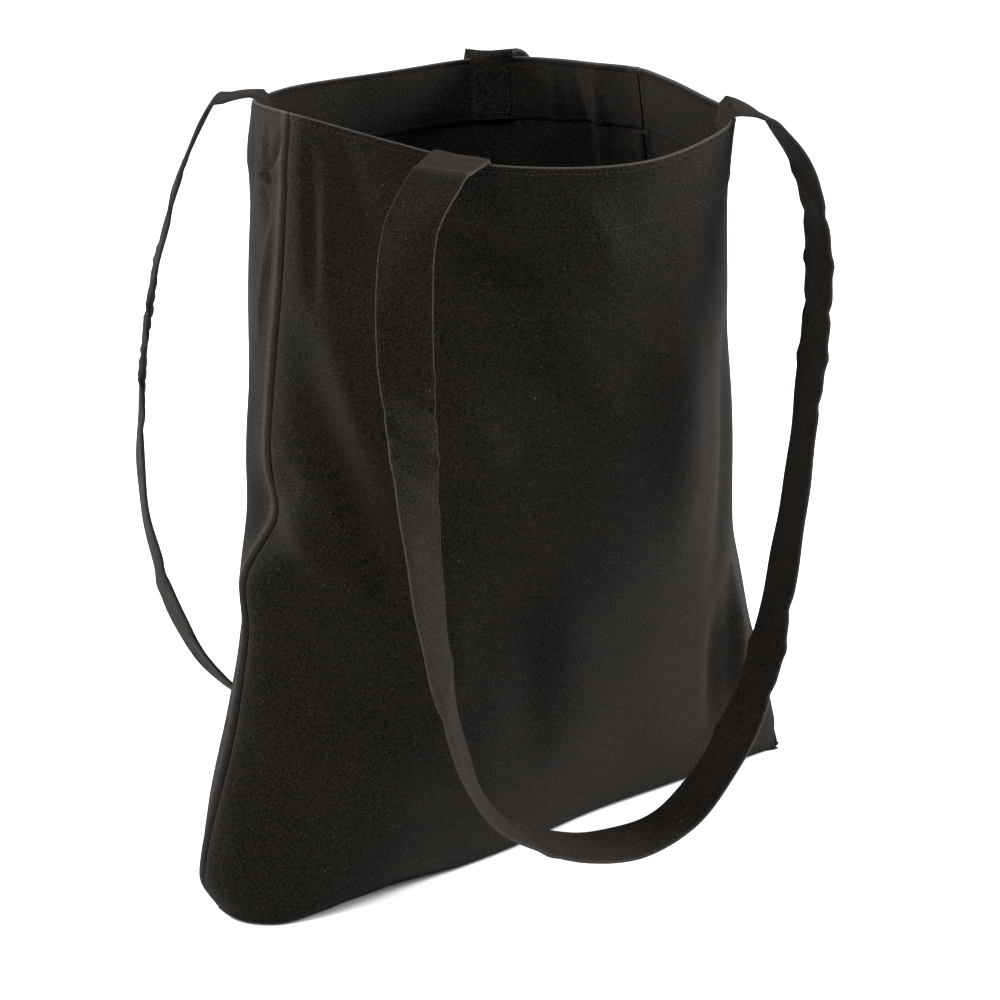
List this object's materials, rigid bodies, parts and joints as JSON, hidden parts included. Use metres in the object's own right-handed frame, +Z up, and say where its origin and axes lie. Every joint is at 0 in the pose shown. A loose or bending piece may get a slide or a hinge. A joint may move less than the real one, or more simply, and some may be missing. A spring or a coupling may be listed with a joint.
{
  "type": "canvas tote bag",
  "caption": "Open-topped tote bag of dark canvas with a turned hem and long flat handles that hang outside and lift over the mouth; stands on its bottom fold.",
  "frame": {"origin": "on the floor under the middle of the bottom edge, on the underside of the bottom fold", "axes": "+Z up, X along the bottom edge with the left side seam at -X, front panel towards -Y"},
  "size_m": [0.3979, 0.2971, 0.419],
  "materials": {
    "canvas": "matt woven cotton",
    "strap_canvas": "matt woven cotton, folded and stitched",
    "thread": "spun thread"
  },
  "bodies": {
    "bag": {"front_panel": "canvas", "back_panel": "canvas", "front_hem": "canvas", "back_hem": "canvas", "left_side_seam": "canvas", "right_side_seam": "canvas", "bottom_fold": "canvas", "front_hem_stitching": "thread", "back_hem_stitching": "thread", "front_handle_left_stitching": "thread", "front_handle_right_stitching": "thread", "back_handle_right_stitching": "thread", "back_handle_left_stitching": "thread", "front_handle_left_end": "strap_canvas", "front_handle_right_end": "strap_canvas", "back_handle_right_end": "strap_canvas", "back_handle_left_end": "strap_canvas"},
    "front_handle": {"front_handle": "strap_canvas"},
    "back_handle": {"back_handle": "strap_canvas"}
  },
  "joints": [
    {"name": "front_handle_swing", "type": "hinge", "parent": "bag", "child": "front_handle", "pos_m": [-0.01011, -0.07794, 0.40731], "axis": [-0.9964, 0.0784, -0.0307], "range_deg": [0, 165]},
    {"name": "back_handle_swing", "type": "hinge", "parent": "bag", "child": "back_handle", "pos_m": [-0.01217, 0.10912, 0.4066], "axis": [0.9906, 0.1345, -0.0232], "range_deg": [0, 165]}
  ]
}
